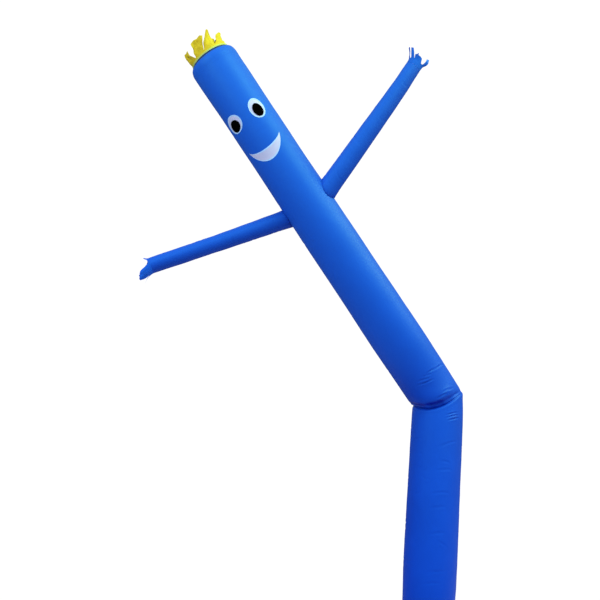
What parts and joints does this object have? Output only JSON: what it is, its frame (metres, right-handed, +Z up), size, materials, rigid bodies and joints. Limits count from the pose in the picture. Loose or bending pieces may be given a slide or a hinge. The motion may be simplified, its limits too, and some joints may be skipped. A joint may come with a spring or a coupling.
{
  "type": "inflatable air dancer",
  "caption": "Tall sewn fabric tube with a printed-style face, two tapered arms and ribbon hair, blown full of air and bent at the middle as it sways.",
  "frame": {"origin": "centre of the tube's open bottom end, level with the hem's lower edge", "axes": "+Z straight up, the face looks towards -Y, and the bent upper half leans to -X and a little to -Y"},
  "size_m": [2.9725, 1.4123, 5.545],
  "materials": {
    "blue_nylon": "smooth coated nylon with a soft sheen",
    "yellow_nylon": "thin translucent nylon, creased",
    "white_nylon": "smooth coated nylon",
    "black_nylon": "smooth coated nylon"
  },
  "bodies": {
    "root": {"main_tube": "blue_nylon", "head_cap": "blue_nylon", "hair": "yellow_nylon", "arm_right": "blue_nylon", "hand_right": "blue_nylon", "arm_left": "blue_nylon", "hand_left": "blue_nylon", "eye_white_right": "white_nylon", "eye_white_left": "white_nylon", "pupil_right": "black_nylon", "pupil_left": "black_nylon", "mouth": "white_nylon"}
  },
  "joints": []
}
